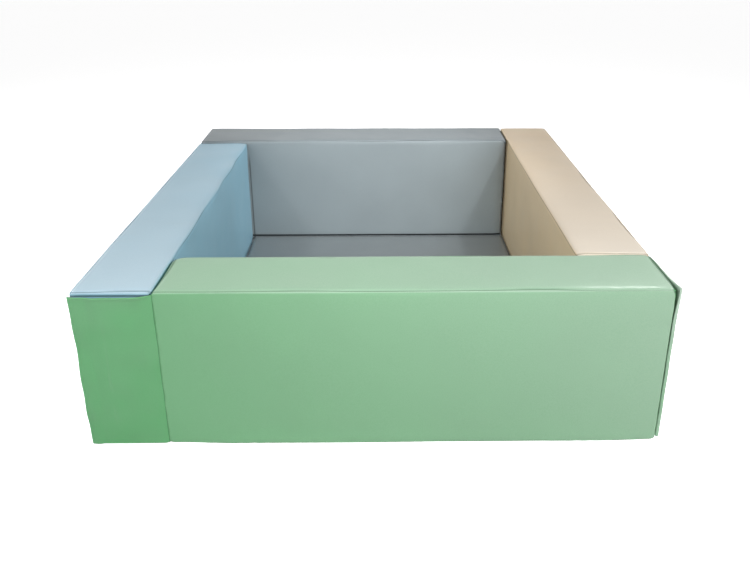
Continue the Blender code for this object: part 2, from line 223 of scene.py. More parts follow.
def mesh_piece(name, points, faces, material, attributes=None):
    """A smooth mesh object at the origin from an array of points, an array of faces and, by name, arrays
    of one value for each point."""
    mesh = bpy.data.meshes.new(name)
    corners = faces.shape[1]
    mesh.vertices.add(len(points))
    mesh.vertices.foreach_set("co", points.astype(np.float32).ravel())
    mesh.loops.add(faces.size)
    mesh.loops.foreach_set("vertex_index", faces.astype(np.int32).ravel())
    mesh.polygons.add(len(faces))
    mesh.polygons.foreach_set("loop_start", np.arange(0, faces.size, corners, dtype=np.int32))
    for label, values in (attributes or {}).items():
        layer = mesh.attributes.new(label, "FLOAT", "POINT")
        layer.data.foreach_set("value", values.astype(np.float32))
    mesh.update(calc_edges=True)
    mesh.validate()
    mesh.shade_smooth()
    mesh.materials.append(material)
    piece = bpy.data.objects.new(name, mesh)
    bpy.context.scene.collection.objects.link(piece)
    return piece


def welded(points, faces):
    """Of points that lie in one place, to a hundredth of a millimetre, which one to keep, and the faces
    renumbered to those."""
    keys = np.round(points * 1e5).astype(np.int64)
    _, first, place = np.unique(keys, axis=0, return_index=True, return_inverse=True)
    return first, place.reshape(-1)[faces]


def joined(parts):
    """Several (points, faces) pairs as one pair, with the faces renumbered."""
    shift = np.cumsum([0] + [len(points) for points, _ in parts[:-1]])
    points = np.concatenate([points for points, _ in parts])
    return points, np.concatenate([faces + start for (_, faces), start in zip(parts, shift)])


def grid_faces(rows, columns):
    """The four-cornered faces of a grid of rows by columns points."""
    index = np.arange(rows * columns).reshape(rows, columns)
    return np.stack([index[:-1, :-1], index[1:, :-1], index[1:, 1:], index[:-1, 1:]], -1).reshape(-1, 4)


def graded(low, high, radius, spacing, steps, extra=()):
    """Places from low to high. In the last radius at each end they are the tangents of equal angles up
    to 45 degrees, which rounding turns into equal arcs. Between them they are evenly spaced."""
    roll = radius * (1 - np.tan(np.linspace(math.pi / 4, 0, steps + 1)))
    count = max(2, math.ceil((high - low - 2 * radius) / spacing))
    flat = np.linspace(low + radius, high - radius, count + 1)[1:-1]
    for place in extra:
        flat = flat[np.abs(flat - place) > spacing / 3]
    return np.sort(np.concatenate([low + roll, flat, list(extra), high - roll]))


def box_skin(low, high, radius, places):
    """A box with rolled edges. Each point of the plain box is taken to the nearest point of the box
    that is smaller by the radius, and then out from there by the radius. Returns the plain points, the
    rolled points, their normals and the faces."""
    parts = []
    for axis in range(3):
        across, along = (axis + 1) % 3, (axis + 2) % 3
        wide, deep = np.meshgrid(places[across], places[along], indexing="ij")
        faces = grid_faces(len(places[across]), len(places[along]))
        for level, order in ((high[axis], (0, 1, 2, 3)), (low[axis], (3, 2, 1, 0))):
            points = np.empty((wide.size, 3))
            points[:, axis] = level
            points[:, across] = wide.ravel()
            points[:, along] = deep.ravel()
            parts.append((points, faces[:, order]))
    points, faces = joined(parts)
    first, faces = welded(points, faces)
    plain = points[first]
    inner = np.clip(plain, low + radius, high - radius)
    normals = plain - inner
    normals /= np.linalg.norm(normals, axis=1)[:, None]
    return plain, inner + radius * normals, normals, faces


def edge_distance(plain, low, high, axis):
    """How far each point lies from the nearer side of the box along one axis."""
    return np.minimum(plain[:, axis] - low[axis], high[axis] - plain[:, axis])


def seam_travel(plain, normals, low, high, radius, edge):
    """How far each point lies from one edge of the box, measured over its surface: below zero on the
    edge's first face, above zero on its second. An edge is (axis, side, axis, side). Points that lie on
    neither face get a large value."""
    first, first_side, second, second_side = edge
    middle = (low + high) / 2
    half = (high - low) / 2
    place_a = first_side * (plain[:, first] - middle[first])
    place_b = second_side * (plain[:, second] - middle[second])
    lean_a = np.clip(first_side * normals[:, first], 0, None)
    lean_b = np.clip(second_side * normals[:, second], 0, None)
    back = np.clip(half[second] - radius - place_b, 0, None)
    forth = np.clip(half[first] - radius - place_a, 0, None)
    travel = radius * (np.arctan2(lean_b, lean_a) - math.pi / 4) - back + forth
    return np.where((lean_a > 1e-6) | (lean_b > 1e-6), travel, 1.0)


EDGES = [
    (first, first_side, second, second_side)
    for first, second in ((0, 1), (1, 2), (2, 0))
    for first_side in (-1, 1)
    for second_side in (-1, 1)
]

# Where the crease of an edge lies across its roll, by the edge's two axes: toward the top or the underside
# where the edge has one, and else in the middle
USUAL_LEANS = {(1, 2): 1, (2, 0): -1}


def sewn_relief(plain, normals, low, high, radius, seed, pucker_share=1.0, leans=None):
    """Relief of the sewn edges, in metres along the normal, and how deep each point lies in a seam, 0 to 1,
    which the vinyl turns into painted shade along the crease. Each edge has a crease that wanders along its
    roll, a soft lip on both sides of it, and gathers that run off it and die out over the reach: short
    ripples along the edge whose height comes and goes over longer stretches. Leans gives a lean of its own
    and a wider line of painted shade to single edges."""
    size = sizes()
    width = size.seam_width
    relief = np.zeros(len(plain))
    seam = np.zeros(len(plain))
    for number, edge in enumerate(EDGES):
        along = 3 - edge[0] - edge[2]
        line = plain[:, along : along + 1]
        lean, breadth = (leans or {}).get(edge, (USUAL_LEANS.get((edge[0], edge[2]), 0), 1))
        wander = radius * (0.5 * lean + 0.22 * ripples(line, 0.45, (seed, number, 0), 5))
        travel = seam_travel(plain, normals, low, high, radius, edge)
        off = travel - wander
        away = np.abs(off)
        crease = bell(off, width)
        lip = bell(away - 2.6 * width, 1.2 * width)
        ends = clamped((away - width) / (3 * width))
        reach = np.exp(-away / size.pucker_reach) * ends * (np.abs(travel) < 0.5)
        before = ripples(line, 0.042, (seed, number, 1))
        after = ripples(line, 0.055, (seed, number, 2))
        gathers = np.where(off < 0, before, after)
        strength = np.clip(0.45 + 0.75 * ripples(line, 0.32, (seed, number, 3), 5), 0, 1.4)
        relief += pucker_share * size.pucker * reach * strength * gathers
        softness = np.clip(0.5 + 0.6 * ripples(line, 0.5, (seed, number, 4), 5), 0, 1.3)
        relief -= 1.1 * MM * softness * bell(travel, 7 * MM)
        relief += 0.22 * size.seam_depth * lip - size.seam_depth * crease
        # How deep a point lies in a seam, for the painted shade along its crease
        seam = np.maximum(seam, bell(off, 1.25 * breadth * width))
    return relief, seam


def worn(plain, normals, low, high, radius, spots):
    """How far worn, soft foam lets the cover sink at each point, from a list of spots, whose depths and
    reaches are in millimetres. A corner spot is ("corner", (x side, y side, z side), depth, reach): a
    bell round that corner. An edge spot is ("edge", edge, depth, reach, from, to): a bell over that edge,
    faded in and out along it. A wave spot is the same with a depth that comes and goes along the edge,
    below and above nothing, over a wavelength. A depth below nothing lets the cover bulge."""
    sunk = np.zeros(len(plain))
    for kind, where, depth, reach, *span in spots:
        if kind == "corner":
            corner = np.where(np.array(where) > 0, high, low)
            sunk += depth * MM * bell(np.linalg.norm(plain - corner, axis=1), reach * MM)
        else:
            along = plain[:, 3 - where[0] - where[2]]
            travel = seam_travel(plain, normals, low, high, radius, where)
            wave = ripples(along[:, None], span[2], (3, 8), 6) if kind == "wave" else 1.0
            sunk += depth * MM * wave * bell(travel, reach * MM) * between(along, *span[:2], 0.12)
    return sunk


def bloom(points, normals, top_sheen):
    """How pale the vinyl is drawn, 0 to 1: a faint even paling everywhere, and a painted sheen that is most
    on the tops and the outer faces of the pit's front, more toward its right and less toward the ground, and
    hardly at all at the back and inside."""
    x, y, z = points.T
    near = clamped(0.5 - y / PIT_SIDE)
    up = clamped(normals[:, 2])
    front = clamped(-normals[:, 1]) * (0.85 + 0.4 * z)
    return 0.015 + near * (up * (top_sheen + 0.06 * x) + front * (0.185 + 0.17 * x))


def zip_channel(name, quarters, lap, depth):
    """The channel for a zip, in the front wall's place: its low and high x, its low and high y, which lie
    inside the zip's chain by the lap, and its depth."""
    low, high = local_box(name + "_zip_chain", quarters)
    return low[0] + lap, high[0] - lap, low[1] + lap, high[1] - lap, depth


def channel_rows(channel):
    """Places along X, Y and Z of a channel's rows of points: one on each side of each of its walls."""
    steps = (-CHANNEL_WALL, CHANNEL_WALL)
    return [[side + step for side in sides for step in steps] for sides in (channel[:2], channel[2:4], ())]


def in_channel(plain, normals, channel):
    """Which points of the underside lie inside the channel."""
    x, y = plain[:, 0], plain[:, 1]
    under = normals[:, 2] < -0.99
    return under & (x > channel[0]) & (x < channel[1]) & (y > channel[2]) & (y < channel[3])


def padded_block(
    low, high, radius, spacing, seed, crown, channel, pucker_share=1.0, spots=(), leans=None, shadow_lines=()
):
    """Points, faces, attributes and normals of a padded block: a box with rolled, sewn edges, crowned by
    crown(plain, normals), which returns a move for each point, waved by its slack, sunk at its worn spots,
    and with a channel in its underside for the zip. Its lines of painted shadow, where another piece meets
    it or lies over it, are each (axis of the face, axis across the line, place, half width, strength,
    highest level)."""
    size = sizes()
    extra = channel_rows(channel)
    for _, axis, place, half_width, *_ in shadow_lines:
        extra[axis].extend(place + half_width * step for step in (-1.0, -0.6, 0.6, 1.0))
    places = [graded(low[n], high[n], radius, spacing, 8, extra[n]) for n in range(3)]
    plain, points, normals, faces = box_skin(low, high, radius, places)
    relief, seam = sewn_relief(plain, normals, low, high, radius, seed, pucker_share, leans)
    inside = 1.0
    for axis in range(3):
        depth = np.clip(edge_distance(plain, low, high, axis), 0, None)
        inside = inside * (1 - bell(depth, 0.03) * (1 - np.abs(normals[:, axis])))
    broad = 0.6 * ripples(plain, 0.34, (seed, 20)) + 0.3 * ripples(plain, 0.13, (seed, 21))
    relief += size.slack * inside * broad * (normals[:, 2] > -0.5)
    relief -= worn(plain, normals, low, high, radius, spots)
    moved = points + normals * relief[:, None] + crown(plain, normals)
    moved[:, 2] = np.maximum(moved[:, 2], low[2])
    # Painted shade along the foot, where the cover meets the floor, carried in the seam value
    seam = np.maximum(seam, 0.7 * bell(moved[:, 2] - low[2], 2.5 * MM))
    # Painted shadow: dark lines where another piece meets this face or lies over it
    grime = np.zeros(len(plain))
    for face, axis, place, half_width, strength, highest in shadow_lines:
        line = clamped(2.5 - 2.5 * np.abs(plain[:, axis] - place) / half_width)
        line *= strength * (normals[:, face] > 0.5) * clamped((highest - plain[:, 2]) / 0.05)
        grime = np.maximum(grime, line)
    moved[in_channel(plain, normals, channel), 2] = low[2] + channel[4]
    return moved, faces, {"seam": seam, "grime": grime}, normals


# Materials


class Nodes:
    """A node tree with short calls to add and link nodes."""

    def __init__(self, tree):
        self.tree = tree

    def node(self, kind, inputs=None, **settings):
        """A new node with its settings, whose inputs are linked to sockets or set to values."""
        made = self.tree.nodes.new(kind)
        for key, value in settings.items():
            setattr(made, key, value)
        for key, value in (inputs or {}).items():
            if isinstance(value, bpy.types.NodeSocket):
                self.tree.links.new(value, made.inputs[key])
            else:
                made.inputs[key].default_value = value
        return made

    def combined(self, kind, *sources, **settings):
        """The output of a new node whose inputs are the sources in order."""
        return self.node(kind, dict(enumerate(sources)), **settings).outputs[0]

    def maths(self, operation, *sources):
        return self.combined("ShaderNodeMath", *sources, operation=operation)

    def white(self, kind, strength):
        """White light from a new Emission or Background node."""
        return self.node(kind, {"Color": (1.0, 1.0, 1.0, 1.0), "Strength": strength}).outputs[0]


class Shader(Nodes):
    """The nodes of a new material, with the patterns that the finishes are made of."""

    def __init__(self, name):
        self.material = bpy.data.materials.new(name)
        self.material.use_nodes = True
        super().__init__(self.material.node_tree)
        self.surface = self.tree.nodes["Principled BSDF"]
        self.place = self.node("ShaderNodeTexCoord").outputs["Object"]

    def noise(self, scale, detail=2.0, rough=0.5):
        inputs = {"Scale": scale, "Detail": detail, "Roughness": rough, "Vector": self.place}
        return self.node("ShaderNodeTexNoise", inputs).outputs["Fac"]

    def cells(self, scale):
        return self.node("ShaderNodeTexVoronoi", {"Scale": scale, "Vector": self.place}).outputs["Distance"]

    def spread(self, value, low, high, out_low=0.0, out_high=1.0):
        """The value's range low to high spread over out_low to out_high, with both ends held."""
        inputs = {"From Min": low, "From Max": high, "To Min": out_low, "To Max": out_high, "Value": value}
        return self.node("ShaderNodeMapRange", inputs).outputs["Result"]

    def mixed(self, share, first, second):
        """Two colours, or a socket and a colour, mixed by share."""
        first, second = ((*part, 1.0) if isinstance(part, tuple) else part for part in (first, second))
        inputs = {"Factor": share, "A": first, "B": second}
        return self.node("ShaderNodeMix", inputs, data_type="RGBA").outputs["Result"]

    def attribute(self, name):
        return self.node("ShaderNodeAttribute", attribute_name=name).outputs["Fac"]

    def bump(self, height, distance, strength, under=None):
        inputs = {"Distance": distance, "Strength": strength, "Height": height}
        if under:
            inputs["Normal"] = under
        return self.node("ShaderNodeBump", inputs).outputs["Normal"]

    def feed(self, name, source):
        """Links a source to one of the surface's inputs."""
        self.tree.links.new(source, self.surface.inputs[name])

    def set(self, **values):
        for key, value in values.items():
            self.surface.inputs[key.replace("_", " ")].default_value = value


def finished(name, recipe, *details):
    """The material called name, made by its recipe when it is first asked for."""
    found = bpy.data.materials.get(name)
    if found:
        return found
    made = Shader(name)
    recipe(made, *details)
    return made.material


def shade(rgb, factor):
    """A colour made darker or lighter by a factor, and no lighter than white."""
    return tuple(min(1.0, part * factor) for part in rgb)


# The pale tint of the painted sheen and of a faint even paling
SHEEN_AND_PALING_TINT = (0.78, 0.80, 0.80)
# A near black for the painted shadow lines
SHADOW_BLACK = (0.010, 0.011, 0.012)


def vinyl_grain(made, rgb, roughness, coat):
    """Coated cloth with a fine leather grain: cells and noise for the grain, and a faint broad mottling of
    colour and gloss. Its colour also carries painted sheen with a faint even paling, painted shadow lines
    where other pieces meet it, and painted shade in the creases where the seams are drawn in."""
    mottle = made.spread(made.noise(5.0, 3.0), 0.3, 0.7)
    base = made.mixed(mottle, shade(rgb, 0.965), shade(rgb, 1.03))
    # Painted sheen, with a faint even paling, pales the colour by the cover's attribute
    base = made.mixed(made.attribute("bloom"), base, SHEEN_AND_PALING_TINT)
    speck = made.spread(made.noise(420.0, 2.0), 0.42, 0.62)
    base = made.mixed(made.spread(speck, 0, 1, 0.0, 0.10), base, shade(rgb, 0.80))
    # Painted shade in the seam creases darkens the colour toward a third of itself
    crease = made.spread(made.attribute("seam"), 0.25, 0.95, 0.0, 0.8)
    base = made.mixed(crease, base, shade(rgb, 0.3))
    # Painted shadow lines darken the colour toward near black
    made.feed("Base Color", made.mixed(made.attribute("grime"), base, SHADOW_BLACK))
    made.feed("Roughness", made.spread(made.noise(9.0, 2.0), 0.3, 0.7, roughness - 0.04, roughness + 0.05))
    grain = made.bump(made.cells(760.0), 0.00025, 0.22)
    grain = made.bump(made.noise(1500.0, 3.0, 0.6), 0.00015, 0.18, grain)
    made.feed("Normal", made.bump(made.noise(16.0, 2.0, 0.45), 0.0022, 0.16, grain))
    made.set(IOR=1.5, Specular_IOR_Level=0.4 + 0.25 * coat, Coat_Weight=coat, Coat_Roughness=0.2)
    made.set(Sheen_Weight=0.08, Sheen_Roughness=0.4)


def vinyl(slot, roughness=0.48, coat=0.4):
    """The vinyl of a record slot."""
    return finished(slot + "_grain", vinyl_grain, colour(slot), roughness, coat)


def foam_cells(made):
    """Open-cell foam: a matt cream with fine pores."""
    rgb = colour("foam")
    pores = made.spread(made.cells(620.0), 0.05, 0.55)
    made.feed("Base Color", made.mixed(pores, shade(rgb, 0.62), rgb))
    made.feed("Normal", made.bump(made.cells(620.0), 0.0006, 0.6))
    made.set(Roughness=0.95)


def tape_pile(made, hooks):
    """Hook-and-loop tape: rows of stiff hooks, or a tangle of loops, over a woven ground."""
    rgb = colour("hook_and_loop")
    tuft = made.cells(640.0) if hooks else made.noise(900.0, 4.0, 0.7)
    share = made.spread(tuft, 0.1, 0.7)
    made.feed("Base Color", made.mixed(share, shade(rgb, 1.25), shade(rgb, 0.55)))
    made.feed("Normal", made.bump(tuft, 0.0008, 0.8))
    made.set(Roughness=0.75 if hooks else 0.92, Sheen_Weight=0.1 if hooks else 0.4)


def zip_weave(made):
    """Woven zip tape: two crossed sets of fine bands make the weave."""
    rgb = colour("zip_tape")
    bands = []
    for direction in ("X", "Y"):
        inputs = {"Scale": 420.0, "Vector": made.place}
        wave = made.node("ShaderNodeTexWave", inputs, wave_type="BANDS", bands_direction=direction)
        bands.append(wave.outputs["Fac"])
    weave = made.maths("MULTIPLY", *bands)
    made.feed("Base Color", made.mixed(made.spread(weave, 0.0, 0.8), shade(rgb, 0.7), shade(rgb, 1.1)))
    made.feed("Normal", made.bump(weave, 0.0003, 0.6))
    made.set(Roughness=0.85)


def zip_plating(made):
    """Plated zinc: satin, with faint scratches and cloudy gloss."""
    rgb = colour("zip_metal")
    cloud = made.spread(made.noise(300.0, 4.0, 0.6), 0.3, 0.7)
    made.feed("Base Color", made.mixed(cloud, shade(rgb, 0.85), rgb))
    made.feed("Roughness", made.spread(cloud, 0, 1, 0.24, 0.42))
    made.feed("Normal", made.bump(made.noise(1800.0, 2.0), 0.00008, 0.3))
    made.set(Metallic=1.0)


# Wall blocks


def wall_plan(name):
    """A wall's quarter turns, and the low and high corner of its cover without the crown in the front
    wall's place, read from the frame."""
    quarters = WALLS[name][0]
    low, high = local_box(name + "_cover", quarters)
    crown = sizes().face_crown
    low[1] += crown
    high[1:] -= crown
    return quarters, low, high


def inner_end(low, high):
    """Where along a wall its inner face meets its neighbour's end: a wall's thickness before its end."""
    return high[0] - (high[1] - low[1])


def wall_crown(low, high, droop, butt_bow, lift):
    """The move of each point of a wall: its outer face bellies out over its whole length, its inner face
    over the stretch between the corners, its top rises, its covered end sinks in, its butt end bows in
    most along the top, the top droops at the two ends, where the foam's corner is soft, and it stands
    higher by a lift that runs from its inner to its outer edge, and by another that grows toward its
    covered end. Its foot lifts off the floor in places."""
    size = sizes()
    butt_reach = 0.04
    soft_end = 0.045
    foot_height = 0.02

    def move(plain, normals):
        x, y, z = plain.T
        along, across, level = (swell(plain[:, n], low[n], high[n]) for n in range(3))
        outer = along * clamped(-normals[:, 1])
        inner = swell(x, low[0], inner_end(low, high)) * clamped(normals[:, 1])
        top = along * across * clamped(normals[:, 2])
        moved = np.zeros_like(plain)
        moved[:, 0] = -1.2 * MM * (across * level) * clamped(normals[:, 0])
        bow = across * (0.35 + 0.65 * (z / high[2]) ** 2)
        moved[:, 0] += butt_bow * bow * np.exp(-(x - low[0]) / butt_reach)
        moved[:, 1] = size.face_crown * level * (inner - outer)
        share = clamped(z / high[2]) ** 3
        near_high = clamped(1 - (high[0] - x) / soft_end) ** 2
        near_low = clamped(1 - (x - low[0]) / soft_end) ** 2
        moved[:, 2] = size.face_crown * top - share * (droop * near_high + 0.4 * droop * near_low)
        tilt = (high[1] - y) / (high[1] - low[1])
        far = clamped(x / high[0])
        moved[:, 2] += share * (lift[0] + (lift[1] - lift[0]) * tilt + lift[2] * far)
        foot = clamped(1 - z / foot_height) * clamped(np.abs(normals[:, 1]))
        lifted = clamped(ripples(plain[:, :1], 0.30, (int(1e4 * droop), 7), 4))
        moved[:, 2] += 1.6 * MM * foot * lifted
        return moved

    return move


# A wall's edges, as it lies in the front wall's place
TOP_OUTER_EDGE = (1, -1, 2, 1)
TOP_INNER_EDGE = (1, 1, 2, 1)
FOOT_INNER_EDGE = (1, 1, 2, -1)
FOOT_OUTER_EDGE = (1, -1, 2, -1)
BUTT_INNER_EDGE = (0, -1, 1, 1)
BUTT_OUTER_EDGE = (0, -1, 1, -1)
FAR_OUTER_EDGE = (0, 1, 1, -1)

# Each wall's droop at its ends, bow of its butt end, worn spots, and edges with a seam of their own, each
# with its lean and the width of its painted shade
WALL_WEAR = {
    "front": (
        1.0 * MM, 5.0 * MM,
        (
            ("corner", (-1, 1, 1), 5.5, 19),
            ("corner", (1, -1, 1), 1.2, 12),
            ("edge", TOP_OUTER_EDGE, 1.6, 9, -0.3, 0.74),
            ("edge", TOP_OUTER_EDGE, 3.0, 24, 0.50, 0.90),
            ("edge", FOOT_OUTER_EDGE, -4.2, 26, -0.44, 0.70),
            ("edge", FOOT_INNER_EDGE, 2.5, 20, -0.6, 0.6),
        ),
        {FAR_OUTER_EDGE: (-2.4, 1), BUTT_OUTER_EDGE: (-2.4, 1)},
    ),
    "left": (
        2.0 * MM, 4.0 * MM,
        (
            ("corner", (-1, 1, 1), 3, 18),
            ("edge", TOP_INNER_EDGE, 1.8, 10, -0.5, 0.5),
            ("wave", TOP_INNER_EDGE, 4.0, 26, -0.5, 0.5, 0.30),
            ("edge", BUTT_INNER_EDGE, 5, 20, -0.1, 0.40),
            ("edge", FOOT_INNER_EDGE, 2.5, 20, -0.6, 0.6),
        ),
        {TOP_INNER_EDGE: (-2.4, 1)},
    ),
    "back": (
        0.3 * MM, 5.0 * MM,
        (
            ("corner", (-1, 1, 1), 4, 20),
            ("edge", TOP_INNER_EDGE, 1.2, 8, -0.5, 0.3),
            ("edge", BUTT_INNER_EDGE, 8, 20, 0.0, 0.6),
            ("wave", BUTT_INNER_EDGE, 1.8, 9, 0.0, 0.6, 0.075),
            ("edge", FOOT_INNER_EDGE, 7, 18, -0.6, 0.6),
        ),
        {BUTT_INNER_EDGE: (0, 2.2)},
    ),
    "right": (
        1.5 * MM, 3.5 * MM,
        (
            ("corner", (-1, 1, 1), 3, 16),
            ("edge", TOP_INNER_EDGE, 1.5, 9, -0.5, 0.2),
            ("edge", FOOT_INNER_EDGE, 2.5, 20, -0.6, 0.6),
        ),
        {TOP_INNER_EDGE: (-2.0, 1.2)},
    ),
}

# How much higher a wall's fuller foam stands along the inner and the outer edge of its top, and at its far
# end, and how much painted sheen whitens its top
TOP_LIFT = {
    "front": (0.0, 0.0, 0.0),
    "left": (0.0, 0.0, 0.0),
    "back": (5.0 * MM, 8.0 * MM, 1.0 * MM),
    "right": (0.0, 0.0, 9.0 * MM),
}
TOP_PAINTED_SHEEN = {"front": 0.32, "left": 0.44, "back": 0.25, "right": 0.52}

# How dark each wall's painted shadow is on its inner face beside its neighbour's end, up to which level, and
# along the mat
SHADOW_LINES = {
    "front": (0.8, 0.45, 0.6),
    "left": (0.8, 0.45, 0.3),
    "back": (0.6, 0.40, 0.95),
    "right": (1.0, 0.50, 0.4),
}


def wall_shadow_lines(name, low, high):
    """A wall's lines of painted shadow: on its inner face beside its neighbour's end and along the mat, and
    on its covered end under the flap's top."""
    strength, highest, foot = SHADOW_LINES[name]
    mat_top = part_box("mat_cover")[1][2]
    flap_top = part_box(name + "_flap")[1][2]
    return (
        (1, 0, inner_end(low, high) + 1.5 * MM, 3.5 * MM, strength, highest),
        (1, 2, mat_top + 1.0 * MM, 5.0 * MM, foot, 1.0),
        (0, 2, flap_top - 3.5 * MM, 3.0 * MM, 0.7, 1.0),
    )


class PIT_OT_covers(bpy.types.Operator):
    """Build the four padded wall covers"""

    bl_idname = "pit.covers"
    bl_label = "Wall covers"

    def execute(self, context):
        size = sizes()
        for seed, name in enumerate(WALLS, start=1):
            quarters, low, high = wall_plan(name)
            channel = zip_channel(name, quarters, ZIP_LAP, COVER_CHANNEL)
            droop, butt_bow, spots, leans = WALL_WEAR[name]
            crown = wall_crown(low, high, droop, butt_bow, TOP_LIFT[name])
            points, faces, attributes, normals = padded_block(
                low, high, size.edge_roll, size.spacing, seed, crown, channel,
                spots=spots, leans=leans, shadow_lines=wall_shadow_lines(name, low, high),
            )
            slot_name = WALLS[name][1]
            finish = vinyl(slot_name, coat=0.1 if name == "back" else 0.4)
            points = turned(points, quarters)
            # Painted sheen, with a faint even paling, carried to the vinyl in an attribute
            attributes["bloom"] = bloom(points, turned(normals, quarters), TOP_PAINTED_SHEEN[name])
            cover = mesh_piece(name + "_vinyl_cover", points, faces, finish, attributes)
            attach(cover, name + "_wall")
            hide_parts(name + "_cover")
        return {"FINISHED"}


class PIT_OT_cores(bpy.types.Operator):
    """Build the foam cores inside the walls and the mat"""

    bl_idname = "pit.cores"
    bl_label = "Foam cores"

    def execute(self, context):
        for seed, name in enumerate([*WALLS, "mat"], start=31):
            quarters = WALLS[name][0] if name in WALLS else 0
            low, high = local_box(name + "_cover", quarters)
            inset = CORE_INSET if name in WALLS else MAT_CORE_INSET
            low, high = low + inset, high - inset
            low[2] = CORE_FOOT
            if name == "mat":
                high[2] += MAT_CORE_RISE
            channel = zip_channel(name, quarters, -ZIP_CLEARANCE, CORE_CHANNEL)
            rows = channel_rows(channel)
            places = [graded(low[n], high[n], CORE_ROLL, CORE_SPACING, 3, rows[n]) for n in range(3)]
            plain, points, normals, faces = box_skin(low, high, CORE_ROLL, places)
            points += normals * (0.5 * MM * ripples(plain, 0.2, (seed, 1)))[:, None]
            points[in_channel(plain, normals, channel), 2] = low[2] + CORE_CHANNEL
            finish = finished("foam_cells", foam_cells)
            core = mesh_piece(name + "_foam_core", turned(points, quarters), faces, finish)
            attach(core, name + "_wall" if name in WALLS else "mat")
            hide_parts(name + "_foam")
        return {"FINISHED"}


class PIT_OT_mat(bpy.types.Operator):
    """Build the floor mat's cover"""

    bl_idname = "pit.mat"
    bl_label = "Floor mat"

    def execute(self, context):
        low, high = local_box("mat_cover", 0)
        high[2] -= MAT_CROWN
        low[:2] -= MAT_SPREAD
        high[:2] += MAT_SPREAD
        channel = zip_channel("mat", 0, ZIP_LAP, COVER_CHANNEL)

        def move(plain, normals):
            rise = swell(plain[:, 0], low[0], high[0]) * swell(plain[:, 1], low[1], high[1])
            moved = np.zeros_like(plain)
            moved[:, 2] = MAT_CROWN * rise * clamped(normals[:, 2])
            return moved

        points, faces, attributes, _ = padded_block(
            low, high, MAT_ROLL, MAT_SPACING, 5, move, channel, pucker_share=0.8
        )
        # Only a faint even paling on the mat, with no painted sheen
        attributes["bloom"] = np.full(len(points), 0.02)
        mat = mesh_piece("mat_vinyl_cover", points, faces, vinyl("mat_vinyl", 0.44), attributes)
        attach(mat, "mat")
        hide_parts("mat_cover")
        return {"FINISHED"}


# Closing flaps


def sheet_skin(middle, outward, inward):
    """A closed sheet from a grid of middle points: one side moved out along the grid's normals by
    outward, the other moved back by inward. Both are 0 on the grid's rim, where the sides meet."""
    across = np.gradient(middle, axis=0)
    along = np.gradient(middle, axis=1)
    normals = np.cross(across, along)
    normals /= np.linalg.norm(normals, axis=2)[:, :, None]
    faces = grid_faces(*middle.shape[:2])
    outer = (middle + normals * outward[:, :, None]).reshape(-1, 3)
    inner = (middle - normals * inward[:, :, None]).reshape(-1, 3)
    return joined([(outer, faces), (inner, faces[:, ::-1])])


def hemmed(distance, thickness, round_over):
    """Half a sheet's thickness at a distance from its rim: a quarter ellipse over the first round_over,
    and even from there on."""
    share = clamped(distance / round_over)
    return thickness / 2 * np.sqrt(np.clip(1 - (1 - share) ** 2, 0, None))


class PIT_OT_flaps(bpy.types.Operator):
    """Build the four closing flaps"""

    bl_idname = "pit.flaps"
    bl_label = "Closing flaps"

    def execute(self, context):
        for seed, name in enumerate(WALLS, start=11):
            build_flap(name, seed)
        return {"FINISHED"}


def flap_plan(name):
    """The wall's quarter turns, and the flap's seam line and size from the frame: the hinge's point, turned
    to the front wall, the width from there to the free edge, and the levels of foot and top."""
    quarters = WALLS[name][0]
    joint = next(joint for joint in frame["joints"] if joint["name"] == name + "_flap_swing")
    hinge = turned(np.array([joint["pos_m"]], float), -quarters)[0]
    low, high = local_box(name + "_flap", quarters)
    return quarters, hinge, hinge[0] - low[0], low[2], high[2]


# Each flap's belly, tip, edge lift, flared hem, dents, top sag, its tip's rise and its foot's rise over the
# plain sheet, the thickness of its hem's turned-in layer, how far the free edge turns in toward the block,
# and how much painted sheen whitens its vinyl
FLAP_SHAPES = {
    "front": (*np.array([3.0, 3.0, -1.0, 0.8, 4.2, 3.5, 4.5, -5.0, 1.8, 0.0]) * MM, 0.03),
    "left": (*np.array([1.5, 1.5, 0.5, 1.0, 1.0, 7.0, 0.0, 0.0, 1.8, 0.0]) * MM, 0.03),
    "back": (*np.array([2.5, 2.5, 0.5, 3.0, 1.0, 4.0, 0.0, 0.0, 1.8, 0.0]) * MM, 0.03),
    "right": (*np.array([1.0, 4.0, -4.5, 0.8, 0.4, -1.0, 8.0, 1.0, 2.0, 3.4]) * MM, 0.28),
}

# Along a flap's free rim: its rounding, the place and half width of the hem's bead, the place and width of
# the stitch line, the width of the turned-in layer, and how far the flare reaches
RIM = 2.4 * MM
BEAD_PLACE = 2.4 * MM
BEAD_HALF = 2.6 * MM
STITCH_PLACE = 5.8 * MM
STITCH_WIDTH = 0.9 * MM
HEM_WIDTH = 8 * MM
FLARE_REACH = 13 * MM

# How deep a flap's root dips into the block and how far from the seam
ROOT_DIP = 3.0 * MM
DIP_REACH = 5 * MM


